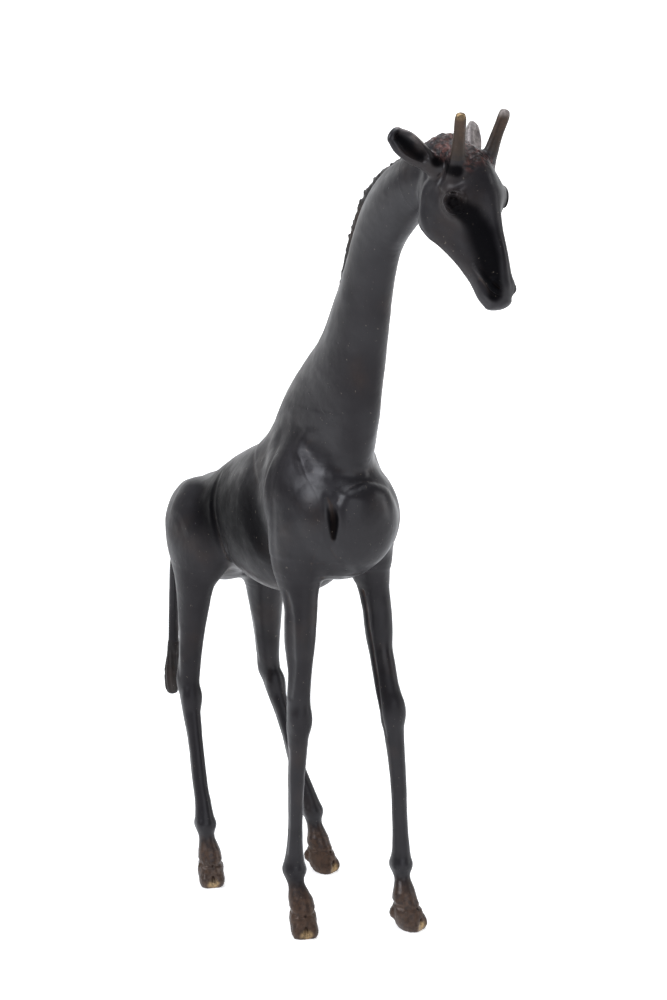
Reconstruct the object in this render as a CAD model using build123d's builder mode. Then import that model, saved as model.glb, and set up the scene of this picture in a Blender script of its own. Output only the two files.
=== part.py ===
from build123d import *
import os
from math import cos, radians, sin

# Cast bronze giraffe statue, walking, head turned a little to its left.
# Millimetres. +X is the way it faces, +Y its left side, +Z up, soles at z = 0.
os.makedirs("parts", exist_ok=True)

# ---------------------------------------------------------------- driving dimensions
CORE_WALL = 5.0          # thickness of the hollow castings
FIT = 0.15               # gap round a spigot in its socket
PIN_FIT = 0.05           # gap round a pin in its hole

FRONT_JOINT_Z = 196      # height at which a front leg meets the body casting
REAR_JOINT_Z = 178       # the same for a rear leg
CORONET_Z = 15           # top of the hoof
SPIGOT = 9.0             # side of the square spigot on top of each leg
SPIGOT_HEIGHT = 12.0
NECK_SPIGOT_RADIUS = 7.5   # round spigot of the head in the neck
NECK_SPIGOT_LENGTH = 11.0
NECK_COLLAR_HEIGHT = 8.0   # ring on the neck that drops into the body casting
NECK_COLLAR_WALL = 3.0

PIN_RADIUS = 1.5
LEG_PIN_LENGTH = 13.0
NECK_PIN_LENGTH = 9.0
HEAD_PIN_LENGTH = 22.0
HOOF_DOWEL_LENGTH = 14.0
TAIL_DOWEL_LENGTH = 12.0
TUFT_DOWEL_RADIUS = 1.0
TUFT_DOWEL_LENGTH = 8.0
EAR_DOWEL_RADIUS = 1.0
EAR_DOWEL_LENGTH = 8.0
OSSICONE_DOWEL_LENGTH = 12.0

PLUG_RADIUS = 4.0        # cast-over plugs in the core holes under the belly
PLUG_HEIGHT = 4.0
PLUG_X = (-84, -58, -32)

RIGHT_TOE_YAW = -18      # degrees that the toes point away from +X
LEFT_TOE_YAW = 22
HEAD_YAW = 14            # degrees that the head turns to the giraffe's left
CLEFT_WIDTH = 1.6        # split between the two toes
CLEFT_DEPTH = 6.0

# Sections of the body, from rump to chest: x, height of centre, half width, half depth.
BODY = [
    (-153, 208, 7, 12),
    (-147, 209.5, 20, 27),
    (-129, 214, 29.5, 35),
    (-102, 224, 31, 34),
    (-72, 233, 33, 39),
    (-39, 238, 36, 46),
    (-11, 248, 37, 44),
    (13, 252, 32.5, 37),
    (33, 253, 27, 32),
    (45, 253, 18.5, 23),
    (51, 253, 8, 10),
]

# Sections of the neck, from inside the body to inside the head: x, y, z, half width, half depth.
NECK = [
    (-15, 0, 262, 26, 40),
    (3, 0, 290, 21.5, 41),
    (20, 0, 318, 17.5, 35),
    (33, 0, 344, 15, 27.5),
    (43.5, 0, 370, 13.5, 22.5),
    (52, 0, 395, 12.5, 19),
    (62.5, 0, 417, 12.5, 17.8),
    (79, 0, 435.5, 13, 17.8),
    (101, 1, 448.5, 13.5, 17.5),
    (123, 3, 455, 13, 16),
]
NECK_JOINT = 2           # the section where the neck meets the body casting
NECK_CORE_END = 5        # the section where the hollow of the neck ends
HEAD_JOINT = 8           # the section where the head meets the neck

# Sections of the head, from poll to chin: distance forward of HEAD_BASE, z, half width, half depth.
HEAD_BASE = (150, 8)
HEAD = [
    (-23, 472.5, 6, 7),
    (-22, 466.5, 11, 13),
    (-18, 459, 14.5, 20),
    (-13, 445, 16.5, 24),
    (-9, 431, 14.5, 21.5),
    (0, 417, 11, 15.8),
    (8, 404, 9.5, 12),
    (11.5, 394, 8.4, 10.4),
    (12.5, 386.5, 5, 6.5),
]

# Centre lines of the legs, from inside the body to the coronet: x, y, z.
FRONT_RIGHT = [
    (11, -20, 280), (6, -23, 262), (9, -25.5, 225), (17.4, -26, FRONT_JOINT_Z),
    (20.6, -27, 170), (19.2, -27.5, 150), (19, -27.6, 132), (17.9, -27.6, 112), (16.6, -27.8, 90),
    (15.5, -28, 68), (14.6, -28, 50), (14.2, -28, 36), (17, -27.8, 27), (20.4, -27.5, 20),
    (22.2, -27.2, CORONET_Z),
]
FRONT_LEFT = [
    (11, 20, 280), (6, 23, 262), (7, 26.2, 225), (12, 27.4, FRONT_JOINT_Z),
    (17, 28.4, 170), (23.5, 28.2, 150), (30, 28.8, 132), (32, 30, 112), (34.4, 31, 90),
    (36.1, 31.4, 68), (37.1, 31.6, 50), (37.4, 31.6, 36), (39.8, 31.2, 27), (42.6, 30.8, 20),
    (44.4, 30.4, CORONET_Z),
]
REAR_RIGHT = [
    (-118, -20, 240), (-116, -23, 226), (-114, -25.5, 208), (-112, -27.5, REAR_JOINT_Z),
    (-112, -30, 152), (-112, -32.3, 128), (-109, -33.5, 112), (-105, -34, 100), (-99, -34.8, 82),
    (-92, -35.6, 62), (-86.7, -36, 48), (-84, -36.2, 38), (-82, -36.2, 29), (-80.4, -36.1, 21),
    (-79, -36, CORONET_Z),
]
REAR_LEFT = [
    (-118, 20, 240), (-117.5, 21.5, 226), (-116.5, 22, 208), (-115.5, 23.2, REAR_JOINT_Z),
    (-116.5, 25, 152), (-116.6, 26.2, 128), (-112.5, 27.4, 112), (-106, 28, 100), (-96, 29, 82),
    (-85, 29.8, 62), (-78, 31.5, 48), (-72.5, 32.9, 38), (-70, 33.4, 29), (-67.2, 33.8, 21),
    (-65, 34, CORONET_Z),
]
# Half sizes along Y and X of the leg sections above, in the same order.
FRONT_SIZES = [
    (6, 12), (11, 21), (11, 19), (8.5, 11), (7.2, 8.6), (7, 8.2), (7.6, 8.3), (5.8, 6.4),
    (4.8, 5.2), (4.6, 5), (5, 5.4), (6.6, 7.2), (5, 5.3), (6.4, 7.1), (7, 7.8),
]
REAR_SIZES = [
    (8, 14), (13, 23), (14.5, 24), (10.2, 15.5), (7.6, 9.8), (6.8, 9), (6, 8), (5.3, 6.8),
    (4.8, 5.5), (4.6, 5.3), (5.2, 5.8), (6.1, 6.8), (5.4, 5.6), (6.4, 7.1), (7, 7.8),
]
BODY_STATIONS = 4        # leg sections that belong to the body casting

# Hoof sections from coronet to sole: how far forward of the coronet, z, half width, half length.
HOOF = [
    (0, CORONET_Z, 7.2, 8),
    (1.8, 9, 8.3, 9),
    (3.6, 3, 7.6, 8.9),
    (4.4, 0, 5.8, 7.2),
]

# Tail from root to the top of its tuft, then the tuft: x, y, z, radius.
TAIL = [
    (-141, 0, 233, 6.5), (-151.5, -1.2, 228, 5.3), (-161, -4.2, 214, 4.2),
    (-168, -9.5, 189, 3.4), (-169.8, -12.8, 160, 3), (-168, -15, 131, 3.3),
]
TUFT = [(-168, -15, 131, 3.3), (-168, -15.6, 120, 4.8), (-168, -16, 110, 5.4), (-168, -16.4, 98, 3.2)]

# One ear and one ossicone in the head's own directions: forward of HEAD_BASE, out to the side, z,
# then half thickness and half width of the ear, or radius of the ossicone.
EAR = [
    (-18, 12, 458.5, 2.6, 3.2),
    (-23.5, 21.5, 467, 4.4, 6.8),
    (-29.5, 27.5, 474, 3.8, 6),
    (-33.3, 31.3, 479, 1.6, 2),
]
OSSICONE = [
    (-8, 9, 450, 5.6),
    (-5.8, 11.2, 461, 4.6),
    (-2.2, 14, 473.5, 3.6),
    (1.4, 16.4, 485.5, 3.5),
    (2, 16.8, 489, 1.5),
]

MANE_HALF_WIDTH = 2.6
MANE_HALF_HEIGHT = 4.2
MANE_RISE = 1.6          # how far the middle of the strip stands off the neck
MANE_SECTIONS = range(2, 9)


# ---------------------------------------------------------------- helpers
def along(points):
    """Unit direction of a chain of points at each of its points."""
    vectors = [Vector(*p[:3]) for p in points]
    last = len(vectors) - 1
    return [(vectors[min(i + 1, last)] - vectors[max(i - 1, 0)]).normalized() for i in range(last + 1)]


def chain_planes(points, side):
    """Planes across a chain of points, with their local x along side."""
    return [
        Plane(origin=p[:3], x_dir=side, z_dir=direction)
        for p, direction in zip(points, along(points))
    ]


def loft_ellipses(planes, sizes, mode=Mode.ADD, ruled=False):
    """Loft through one ellipse per plane; sizes are half width and half depth."""
    sections = []
    for plane, (half_width, half_depth) in zip(planes, sizes):
        with BuildSketch(plane) as section:
            Ellipse(half_width, half_depth)
        sections.append(section.sketch)
    loft(sections, ruled=ruled, mode=mode)


def loft_circles(points):
    """Loft through one circle per point, across the line of the points."""
    sections = []
    for plane, point in zip(chain_planes(points, (0, 1, 0)), points):
        with BuildSketch(plane) as section:
            Circle(point[3])
        sections.append(section.sketch)
    loft(sections)


def body_mass(mode=Mode.ADD):
    planes = [Plane(origin=(x, 0, z), x_dir=(0, 1, 0), z_dir=(1, 0, 0)) for x, z, w, d in BODY]
    loft_ellipses(planes, [(w, d) for x, z, w, d in BODY], mode)


def body_core():
    """The hollow of the body, one casting wall inside it, closed short of its two ends."""
    hollow = BODY[1:-1]
    planes = [Plane(origin=(x, 0, z), x_dir=(0, 1, 0), z_dir=(1, 0, 0)) for x, z, w, d in hollow]
    loft_ellipses(planes, [(w - CORE_WALL, d - CORE_WALL) for x, z, w, d in hollow], Mode.SUBTRACT)


NECK_PLANES = chain_planes(NECK, (0, 1, 0))
NECK_SIZES = [(w, d) for x, y, z, w, d in NECK]
NECK_JOINT_PLANE = NECK_PLANES[NECK_JOINT]
HEAD_JOINT_PLANE = NECK_PLANES[HEAD_JOINT]


def neck_mass(first, last, shrink=0.0, mode=Mode.ADD):
    loft_ellipses(NECK_PLANES[first:last + 1],
                  [(w - shrink, d - shrink) for w, d in NECK_SIZES[first:last + 1]], mode)


def yawed(angle):
    """Forward and side directions of something turned by angle about the vertical."""
    forward = (cos(radians(angle)), sin(radians(angle)), 0)
    side = (sin(radians(angle)), -cos(radians(angle)), 0)
    return forward, side


HEAD_FORWARD, HEAD_RIGHT = yawed(HEAD_YAW)


def head_point(forward, left, z):
    """A point given in the head's own directions."""
    return (HEAD_BASE[0] + forward * HEAD_FORWARD[0] - left * HEAD_RIGHT[0],
            HEAD_BASE[1] + forward * HEAD_FORWARD[1] - left * HEAD_RIGHT[1], z)


def head_chain(points, left):
    """An ear's or ossicone's points on the left side (1) or the right side (-1) of the head."""
    return [(*head_point(forward, left * out, z), *sizes) for forward, out, z, *sizes in points]


def head_mass():
    planes = [Plane(origin=head_point(forward, 0, z), x_dir=HEAD_RIGHT, z_dir=(0, 0, 1))
              for forward, z, w, d in HEAD]
    loft_ellipses(planes, [(w, d) for forward, z, w, d in HEAD])


def leg_mass(line, sizes, first, last):
    """A stretch of a leg, straight between its sections, from one of them to another."""
    planes = [Plane(origin=p, x_dir=(0, 1, 0), z_dir=(0, 0, 1)) for p in line[first:last + 1]]
    loft_ellipses(planes, sizes[first:last + 1], ruled=True)


def rod(plane, radius, length, mode=Mode.ADD):
    """A cylinder centred on the plane's origin, along its normal."""
    with BuildSketch(plane) as section:
        Circle(radius)
    extrude(section.sketch, amount=length / 2, both=True, mode=mode)


def keep_up(name, block):
    block.part.label = name
    export_step(block.part, f"parts/{name}.step")


LEGS = {
    "front_right": (FRONT_RIGHT, FRONT_SIZES, RIGHT_TOE_YAW),
    "front_left": (FRONT_LEFT, FRONT_SIZES, LEFT_TOE_YAW),
    "rear_right": (REAR_RIGHT, REAR_SIZES, RIGHT_TOE_YAW),
    "rear_left": (REAR_LEFT, REAR_SIZES, LEFT_TOE_YAW),
}


def leg_joint(line):
    """Plane on which a leg meets the body casting."""
    return Plane(origin=line[BODY_STATIONS - 1])


def leg_pin_plane(line):
    """Plane across the pin that runs side to side through a leg's spigot."""
    x, y, z = line[BODY_STATIONS - 1]
    return Plane(origin=(x, y, z + SPIGOT_HEIGHT / 2), x_dir=(1, 0, 0), z_dir=(0, 1, 0))


def dowel_plane(points, index):
    return chain_planes(points, (0, 1, 0))[index]


NECK_PIN_PLANES = [
    Plane(origin=NECK_JOINT_PLANE.from_local_coords((side * (NECK_SIZES[NECK_JOINT][0] - CORE_WALL), 0,
                                                     -NECK_COLLAR_HEIGHT / 2)),
          x_dir=NECK_JOINT_PLANE.z_dir, z_dir=(0, side, 0))
    for side in (-1, 1)
]
HEAD_PIN_PLANE = Plane(
    origin=HEAD_JOINT_PLANE.from_local_coords((0, 0, -NECK_SPIGOT_LENGTH / 2)),
    x_dir=HEAD_JOINT_PLANE.z_dir, z_dir=HEAD_JOINT_PLANE.x_dir)
TAIL_DOWEL = Plane(origin=(-149.5, -0.8, 229), x_dir=(0, 1, 0), z_dir=(-0.8, -0.1, -0.6))
TUFT_DOWEL = dowel_plane(TAIL, len(TAIL) - 1)
HEAD_SIDES = {"right": -1, "left": 1}
EARS = {side: head_chain(EAR, left) for side, left in HEAD_SIDES.items()}
OSSICONES = {side: head_chain(OSSICONE, left) for side, left in HEAD_SIDES.items()}
EAR_DOWELS = {
    side: Plane(origin=head_point(-19, left * 14.2, 461), x_dir=(0, 0, 1),
                z_dir=(Vector(*EARS[side][1][:3]) - Vector(*EARS[side][0][:3])))
    for side, left in HEAD_SIDES.items()
}
OSSICONE_DOWELS = {side: dowel_plane(points, 1) for side, points in OSSICONES.items()}


def plug_floor(x):
    """Lowest point of the body at x, by straight lines between its sections."""
    for (x0, z0, _, d0), (x1, z1, _, d1) in zip(BODY, BODY[1:]):
        if x0 <= x <= x1:
            share = (x - x0) / (x1 - x0)
            return (z0 - d0) + share * ((z1 - d1) - (z0 - d0))


# ---------------------------------------------------------------- body, neck and head
with BuildPart() as body_casting:
    body_mass()
    neck_mass(0, NECK_JOINT)
    for line, sizes, yaw in LEGS.values():
        leg_mass(line, sizes, 0, BODY_STATIONS - 1)
    body_core()
    neck_mass(0, NECK_JOINT, CORE_WALL, Mode.SUBTRACT)
    for line, sizes, yaw in LEGS.values():
        with BuildSketch(leg_joint(line)):
            Rectangle(SPIGOT + 2 * FIT, SPIGOT + 2 * FIT)
        extrude(amount=SPIGOT_HEIGHT + FIT, mode=Mode.SUBTRACT)
        rod(leg_pin_plane(line), PIN_RADIUS + PIN_FIT, LEG_PIN_LENGTH + 2 * FIT, Mode.SUBTRACT)
    for plane in NECK_PIN_PLANES:
        rod(plane, PIN_RADIUS + PIN_FIT, NECK_PIN_LENGTH + 2 * FIT, Mode.SUBTRACT)
    for x in PLUG_X:
        rod(Plane(origin=(x, 0, plug_floor(x) + PLUG_HEIGHT / 2)), PLUG_RADIUS + PIN_FIT, 3 * PLUG_HEIGHT,
            Mode.SUBTRACT)
    rod(TAIL_DOWEL, PIN_RADIUS + PIN_FIT, TAIL_DOWEL_LENGTH + FIT, Mode.SUBTRACT)
keep_up("body_casting", body_casting)

with BuildPart() as neck_casting:
    neck_mass(NECK_JOINT, HEAD_JOINT)
    neck_mass(NECK_JOINT, NECK_CORE_END, CORE_WALL, Mode.SUBTRACT)
    collar_width, collar_depth = (size - CORE_WALL - 2 * FIT for size in NECK_SIZES[NECK_JOINT])
    with BuildSketch(NECK_JOINT_PLANE):
        Ellipse(collar_width, collar_depth)
        Ellipse(collar_width - NECK_COLLAR_WALL, collar_depth - NECK_COLLAR_WALL, mode=Mode.SUBTRACT)
    extrude(amount=NECK_COLLAR_HEIGHT, both=True)
    for plane in NECK_PIN_PLANES:
        rod(plane, PIN_RADIUS + PIN_FIT, NECK_PIN_LENGTH + 2 * FIT, Mode.SUBTRACT)
    with BuildSketch(HEAD_JOINT_PLANE):
        Circle(NECK_SPIGOT_RADIUS + FIT)
    extrude(amount=-NECK_SPIGOT_LENGTH - FIT, mode=Mode.SUBTRACT)
    rod(HEAD_PIN_PLANE, PIN_RADIUS + PIN_FIT, HEAD_PIN_LENGTH + 2 * FIT, Mode.SUBTRACT)
keep_up("neck_casting", neck_casting)

with BuildPart() as head_casting:
    neck_mass(HEAD_JOINT, len(NECK) - 1)
    head_mass()
    with BuildSketch(HEAD_JOINT_PLANE):
        Circle(NECK_SPIGOT_RADIUS)
    extrude(amount=-NECK_SPIGOT_LENGTH)
    rod(HEAD_PIN_PLANE, PIN_RADIUS + PIN_FIT, HEAD_PIN_LENGTH + 2 * FIT, Mode.SUBTRACT)
    for plane in EAR_DOWELS.values():
        rod(plane, EAR_DOWEL_RADIUS + PIN_FIT, EAR_DOWEL_LENGTH + 2 * FIT, Mode.SUBTRACT)
    for plane in OSSICONE_DOWELS.values():
        rod(plane, PIN_RADIUS + PIN_FIT, OSSICONE_DOWEL_LENGTH + 2 * FIT, Mode.SUBTRACT)
keep_up("head_casting", head_casting)

# ---------------------------------------------------------------- mane, ears, ossicones and tail
with BuildPart() as mane_strip:
    strip_planes = []
    for index in MANE_SECTIONS:
        plane = NECK_PLANES[index]
        depth = NECK_SIZES[index][1]
        strip_planes.append(Plane(origin=plane.from_local_coords((0, depth + MANE_RISE, 0)),
                                  x_dir=plane.x_dir, z_dir=plane.z_dir))
    loft_ellipses(strip_planes, [(MANE_HALF_WIDTH, MANE_HALF_HEIGHT)] * len(strip_planes))
    neck_mass(0, NECK_JOINT, mode=Mode.SUBTRACT)
    neck_mass(NECK_JOINT, HEAD_JOINT, mode=Mode.SUBTRACT)
    neck_mass(HEAD_JOINT, len(NECK) - 1, mode=Mode.SUBTRACT)
keep_up("mane_strip", mane_strip)

for side in HEAD_SIDES:
    with BuildPart() as ear:
        loft_ellipses(chain_planes(EARS[side], HEAD_FORWARD), [p[3:] for p in EARS[side]])
        add(head_casting.part, mode=Mode.SUBTRACT)
        rod(EAR_DOWELS[side], EAR_DOWEL_RADIUS + PIN_FIT, EAR_DOWEL_LENGTH + 2 * FIT, Mode.SUBTRACT)
    keep_up(f"{side}_ear", ear)

    with BuildPart() as ossicone:
        loft_circles(OSSICONES[side])
        add(head_casting.part, mode=Mode.SUBTRACT)
        rod(OSSICONE_DOWELS[side], PIN_RADIUS + PIN_FIT, OSSICONE_DOWEL_LENGTH + 2 * FIT, Mode.SUBTRACT)
    keep_up(f"{side}_ossicone", ossicone)

with BuildPart() as tail:
    loft_circles(TAIL)
    body_mass(Mode.SUBTRACT)
    rod(TAIL_DOWEL, PIN_RADIUS + PIN_FIT, TAIL_DOWEL_LENGTH + FIT, Mode.SUBTRACT)
    rod(TUFT_DOWEL, TUFT_DOWEL_RADIUS + PIN_FIT, TUFT_DOWEL_LENGTH + 2 * FIT, Mode.SUBTRACT)
keep_up("tail", tail)

with BuildPart() as tail_tuft:
    loft_circles(TUFT)
    split(bisect_by=TUFT_DOWEL, keep=Keep.TOP)
    rod(TUFT_DOWEL, TUFT_DOWEL_RADIUS + PIN_FIT, TUFT_DOWEL_LENGTH + 2 * FIT, Mode.SUBTRACT)
keep_up("tail_tuft", tail_tuft)

# ---------------------------------------------------------------- legs and hooves
for name, (line, sizes, yaw) in LEGS.items():
    coronet = Plane(origin=line[-1])
    with BuildPart() as leg:
        leg_mass(line, sizes, BODY_STATIONS - 1, len(line) - 1)
        with BuildSketch(leg_joint(line)):
            Rectangle(SPIGOT, SPIGOT)
        extrude(amount=SPIGOT_HEIGHT)
        rod(leg_pin_plane(line), PIN_RADIUS + PIN_FIT, LEG_PIN_LENGTH + 2 * FIT, Mode.SUBTRACT)
        rod(coronet, PIN_RADIUS + PIN_FIT, HOOF_DOWEL_LENGTH + 2 * FIT, Mode.SUBTRACT)
    keep_up(f"{name}_leg", leg)

    forward, side = yawed(yaw)
    x, y, z = line[-1]
    with BuildPart() as hoof:
        hoof_planes = [
            Plane(origin=(x + f * forward[0], y + f * forward[1], height), x_dir=side, z_dir=(0, 0, 1))
            for f, height, w, d in HOOF
        ]
        loft_ellipses(hoof_planes, [(w, d) for f, height, w, d in HOOF])
        toe = HOOF[-1][0] + HOOF[-1][3]
        with BuildSketch(Plane(origin=(x + toe * forward[0], y + toe * forward[1], 0), x_dir=side)):
            Rectangle(CLEFT_WIDTH, CLEFT_DEPTH)
        extrude(amount=CORONET_Z - 2, mode=Mode.SUBTRACT)
        rod(coronet, PIN_RADIUS + PIN_FIT, HOOF_DOWEL_LENGTH + 2 * FIT, Mode.SUBTRACT)
    keep_up(f"{name}_hoof", hoof)

# ---------------------------------------------------------------- pins, dowels and plugs
with BuildPart() as leg_joint_pins:
    for line, sizes, yaw in LEGS.values():
        rod(leg_pin_plane(line), PIN_RADIUS, LEG_PIN_LENGTH)
keep_up("leg_joint_pins", leg_joint_pins)

with BuildPart() as hoof_dowels:
    for line, sizes, yaw in LEGS.values():
        rod(Plane(origin=line[-1]), PIN_RADIUS, HOOF_DOWEL_LENGTH)
keep_up("hoof_dowels", hoof_dowels)

with BuildPart() as neck_joint_pins:
    for plane in NECK_PIN_PLANES:
        rod(plane, PIN_RADIUS, NECK_PIN_LENGTH)
keep_up("neck_joint_pins", neck_joint_pins)

with BuildPart() as head_joint_pin:
    rod(HEAD_PIN_PLANE, PIN_RADIUS, HEAD_PIN_LENGTH)
keep_up("head_joint_pin", head_joint_pin)

with BuildPart() as ear_dowels:
    for plane in EAR_DOWELS.values():
        rod(plane, EAR_DOWEL_RADIUS, EAR_DOWEL_LENGTH)
keep_up("ear_dowels", ear_dowels)

with BuildPart() as ossicone_dowels:
    for plane in OSSICONE_DOWELS.values():
        rod(plane, PIN_RADIUS, OSSICONE_DOWEL_LENGTH)
keep_up("ossicone_dowels", ossicone_dowels)

with BuildPart() as tail_dowel:
    rod(TAIL_DOWEL, PIN_RADIUS, TAIL_DOWEL_LENGTH)
keep_up("tail_dowel", tail_dowel)

with BuildPart() as tuft_dowel:
    rod(TUFT_DOWEL, TUFT_DOWEL_RADIUS, TUFT_DOWEL_LENGTH)
keep_up("tuft_dowel", tuft_dowel)

with BuildPart() as core_plugs:
    for x in PLUG_X:
        rod(Plane(origin=(x, 0, plug_floor(x) + PLUG_HEIGHT / 2)), PLUG_RADIUS, PLUG_HEIGHT)
keep_up("core_plugs", core_plugs)
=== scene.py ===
from math import cos, pi, radians, sin

import bpy
import numpy as np
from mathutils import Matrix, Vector


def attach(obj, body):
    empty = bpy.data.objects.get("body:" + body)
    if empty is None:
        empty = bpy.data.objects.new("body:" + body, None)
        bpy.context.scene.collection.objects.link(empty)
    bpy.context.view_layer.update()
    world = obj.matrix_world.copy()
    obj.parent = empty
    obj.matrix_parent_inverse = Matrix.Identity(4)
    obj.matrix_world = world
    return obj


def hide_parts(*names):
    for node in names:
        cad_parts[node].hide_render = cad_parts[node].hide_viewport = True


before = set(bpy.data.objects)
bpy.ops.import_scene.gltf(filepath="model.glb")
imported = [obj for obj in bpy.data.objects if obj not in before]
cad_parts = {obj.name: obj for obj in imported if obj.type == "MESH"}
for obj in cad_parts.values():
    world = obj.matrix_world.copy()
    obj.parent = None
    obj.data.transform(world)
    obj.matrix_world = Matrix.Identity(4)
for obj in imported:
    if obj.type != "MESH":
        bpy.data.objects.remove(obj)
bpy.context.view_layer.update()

# A lost-wax bronze of a walking giraffe. The whole animal is one sculpted volume, a field of signed
# distances in millimetres, from which each casting is cut where the CAD model has its joints.
# +X is the way the giraffe faces, +Y its left side, +Z up.

MM = 0.001
FAR = 12.0               # largest distance that the field keeps, mm
COARSE = 1.0      # grid steps are this much larger while trying things

FRONT_JOINT_Z = 196.0    # where the legs meet the body casting
REAR_JOINT_Z = 178.0
CORONET_Z = 15.0         # where the hooves meet the legs
RIGHT_TOE_YAW = radians(-18)
LEFT_TOE_YAW = radians(22)
HEAD_YAW = radians(14)
HEAD_BASE = (150.0, 8.0)
OVERLAP = 1.6            # how far neighbouring castings share their surface, mm
RELIEF_DEPTH = 0.89      # share of the distance along its through direction that a relief ignores
MIDLINE_FADE = 5.0       # how far from the middle plane a relief on one side reaches its full height, mm


# -------- the field
def smooth_min(a, b, blend):
    """The smaller of two distances, rounded where they meet."""
    if blend <= 0:
        return np.minimum(a, b)
    share = np.clip(0.5 + 0.5 * (b - a) / blend, 0, 1)
    return b * (1 - share) + a * share - blend * share * (1 - share)


def unit(vector):
    vector = np.asarray(vector, float)
    return vector / np.linalg.norm(vector)


class Block:
    """A box of the field: values at the points of a regular grid."""

    def __init__(self, low, step, counts, value):
        self.low = low
        self.step = step
        self.field = np.full(counts, value, np.float32)

    def grid(self, first, last):
        """Coordinates of the points from the first index of each axis up to the last."""
        axes = [(self.low[n] + self.step * np.arange(first[n], last[n])).astype(np.float32)
                for n in range(3)]
        return np.meshgrid(*axes, indexing="ij", sparse=True)

    def window(self, low, high):
        """The part of the grid inside a box: its slices and the coordinates of its points."""
        first = np.maximum(np.ceil((np.asarray(low) - self.low) / self.step).astype(int), 0)
        last = np.floor((np.asarray(high) - self.low) / self.step).astype(int) + 1
        last = np.minimum(last, self.field.shape)
        if (last <= first).any():
            return None, None
        return tuple(slice(a, b) for a, b in zip(first, last)), self.grid(first, last)


def radial(side, depth, half_side, half_depth, along=0.0, half_along=1.0):
    """Signed distance to an ellipse or ellipsoid, from offsets to its centre."""
    k = np.sqrt((side / half_side) ** 2 + (depth / half_depth) ** 2 + (along / half_along) ** 2)
    length = np.sqrt(side * side + depth * depth + along * along)
    return np.clip(length * (1 - 1 / np.maximum(k, 1e-3)), -FAR, FAR)


# -------- strokes
# A shape is a list of (low corner, high corner, paint), where paint gives distances at points of that box.
# A stroke is one lump, limb or groove of clay: how it is worked in, how softly it blends, and its shape.
def add(blend, shape):
    return "add", blend, shape


def carve(blend, shape):
    return "carve", blend, shape


def ball(centre, radii, forward=(1, 0, 0), up=(0, 0, 1)):
    """An ellipsoid with its radii along forward, sideways and up."""
    centre = np.asarray(centre, float)
    forward = unit(forward)
    up = unit(np.asarray(up, float) - np.dot(up, forward) * forward)
    side = np.cross(up, forward)
    reach = max(radii)

    def paint(x, y, z):
        dx, dy, dz = x - centre[0], y - centre[1], z - centre[2]
        f = dx * forward[0] + dy * forward[1] + dz * forward[2]
        s = dx * side[0] + dy * side[1] + dz * side[2]
        u = dx * up[0] + dy * up[1] + dz * up[2]
        return radial(s, u, radii[1], radii[2], along=f, half_along=radii[0])

    return [(centre - reach, centre + reach, paint)]


def smooth_rows(rows, parts):
    """Catmull-Rom rows through a chain of rows, parts of them for each stretch."""
    rows = np.asarray(rows, float)
    last = len(rows) - 1
    out = []
    for i in range(last):
        p0, p1, p2, p3 = rows[max(i - 1, 0)], rows[i], rows[i + 1], rows[min(i + 2, last)]
        for t in np.arange(parts) / parts:
            out.append(0.5 * (2 * p1 + (p2 - p0) * t + (2 * p0 - 5 * p1 + 4 * p2 - p3) * t * t
                              + (3 * p1 - p0 - 3 * p2 + p3) * t ** 3))
    out.append(rows[-1])
    return np.array(out)


def limb(rows, side=(0, 1, 0), caps=(4.0, 4.0), parts=5):
    """A swept ellipse: rows of x, y, z, half width along side, half depth across it."""
    rows = smooth_rows(rows, parts)
    points = rows[:, :3]
    half_side, half_depth = np.maximum(rows[:, 3:5], 0.3).T
    last = len(points) - 1
    tangents = [unit(points[min(i + 1, last)] - points[max(i - 1, 0)]) for i in range(last + 1)]
    sides = [unit(np.asarray(side, float) - np.dot(side, t) * t) for t in tangents]
    depths = [np.cross(t, s) for t, s in zip(tangents, sides)]
    margin = 5.0

    def ring_box(i, end=0.0):
        """The box round the ring at row i, and end further along the limb."""
        reach = np.abs(sides[i]) * (half_side[i] + margin) + np.abs(depths[i]) * (half_depth[i] + margin)
        reach = reach + np.abs(tangents[i]) * end
        return points[i] - reach, points[i] + reach

    def offsets(x, y, z, i):
        return x - points[i][0], y - points[i][1], z - points[i][2]

    def dot(d, v):
        return d[0] * v[0] + d[1] * v[1] + d[2] * v[2]

    def stretch(i):
        """The limb between two rings, where points share the two rings by their distances to them."""
        low = np.minimum(ring_box(i)[0], ring_box(i + 1)[0])
        high = np.maximum(ring_box(i)[1], ring_box(i + 1)[1])

        def paint(x, y, z):
            here, there = offsets(x, y, z, i), offsets(x, y, z, i + 1)
            a, b = dot(here, tangents[i]), dot(there, tangents[i + 1])
            t = np.clip(a / np.maximum(a - b, 1e-6), 0, 1)
            q = [here[n] - t * (points[i + 1][n] - points[i][n]) for n in range(3)]
            s = dot(q, sides[i]) * (1 - t) + dot(q, sides[i + 1]) * t
            d = dot(q, depths[i]) * (1 - t) + dot(q, depths[i + 1]) * t
            w = half_side[i] * (1 - t) + half_side[i + 1] * t
            h = half_depth[i] * (1 - t) + half_depth[i + 1] * t
            return np.where((a >= 0) & (b < 0), radial(s, d, w, h), FAR)

        return low, high, paint

    def cap(i, sign, length):
        """The round end beyond a ring."""
        low, high = ring_box(i, length + margin)

        def paint(x, y, z):
            here = offsets(x, y, z, i)
            a = sign * dot(here, tangents[i])
            value = radial(dot(here, sides[i]), dot(here, depths[i]), half_side[i], half_depth[i],
                           a, length)
            return np.where(a >= 0, value, FAR)

        return low, high, paint

    return [cap(0, -1, caps[0])] + [stretch(i) for i in range(last)] + [cap(last, 1, caps[1])]


def cord(rows, parts=4):
    """A round limb: rows of x, y, z, radius."""
    rows = [(x, y, z, r, r) for x, y, z, r in rows]
    line = np.array(rows)[-1][:3] - np.array(rows)[0][:3]
    side = (0, 1, 0) if abs(unit(line)[1]) < 0.8 else (1, 0, 0)
    return limb(rows, side, caps=(rows[0][3], rows[-1][3]), parts=parts)


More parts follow.
